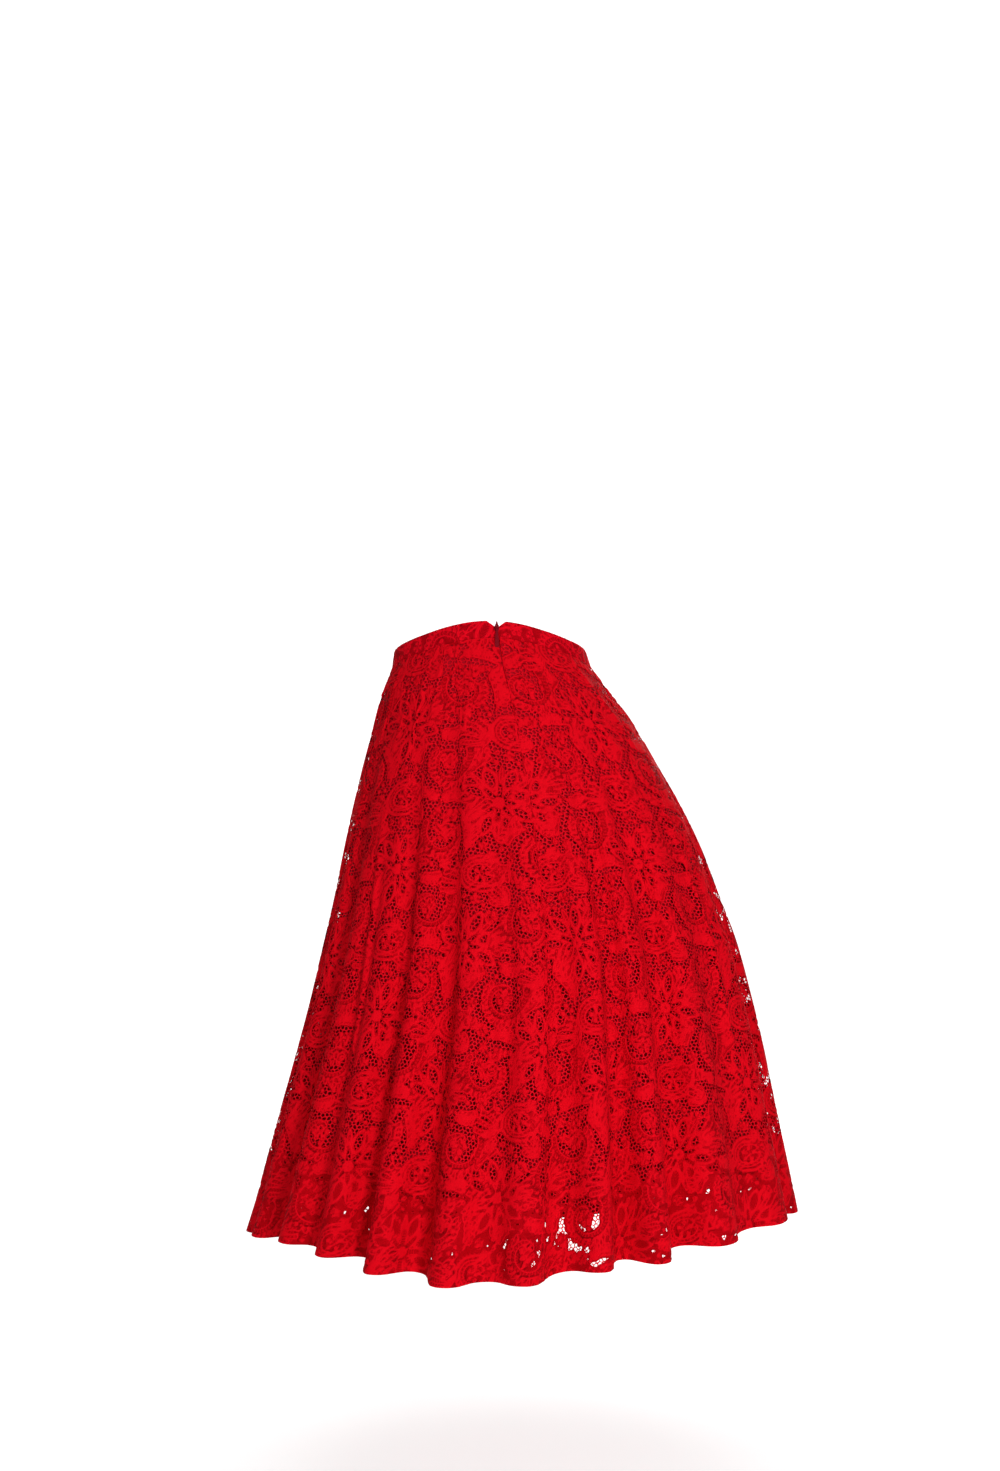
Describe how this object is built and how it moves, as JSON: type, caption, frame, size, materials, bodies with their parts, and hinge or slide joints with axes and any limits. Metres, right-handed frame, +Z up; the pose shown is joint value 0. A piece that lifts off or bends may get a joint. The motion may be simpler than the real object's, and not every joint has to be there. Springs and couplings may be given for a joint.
{
  "type": "circle skirt",
  "caption": "Lined knee-to-midi lace circle skirt with a waistband and deep flutes, in its worn hollow form, closed by a zip at the centre back",
  "frame": {"origin": "the middle of the waist, level with the top edge of the waistband at the side seams, where the wearer holds the skirt up", "axes": "+Z up, -Y is the wearer's front, +Y the centre back with the zip, +X the wearer's left"},
  "size_m": [0.7036, 0.6214, 0.7751],
  "materials": {
    "lace": "corded guipure-style lace with dense raised motifs on an open net, soft sheen",
    "lining": "plain woven satin-faced lining, soft sheen",
    "waistband": "lace over lining cloth, pressed",
    "zip_tape": "woven tape with a fine coil, matte",
    "zip_metal": "dyed-to-match enamel, semi-gloss"
  },
  "bodies": {
    "skirt": {"lace_front": "lace", "lace_back_left": "lace", "lace_back_right": "lace", "lining_front": "lining", "lining_back_left": "lining", "lining_back_right": "lining", "waistband": "waistband", "zip_tape": "zip_tape", "zip_slider": "zip_metal"},
    "pull": {"zip_pull": "zip_metal"}
  },
  "joints": [
    {"name": "pull_hinge", "type": "hinge", "parent": "skirt", "child": "pull", "pos_m": [-0.00892, 0.0978, 0.02888], "axis": [0.9985, 0.054, 0], "range_deg": [0, 150]}
  ]
}
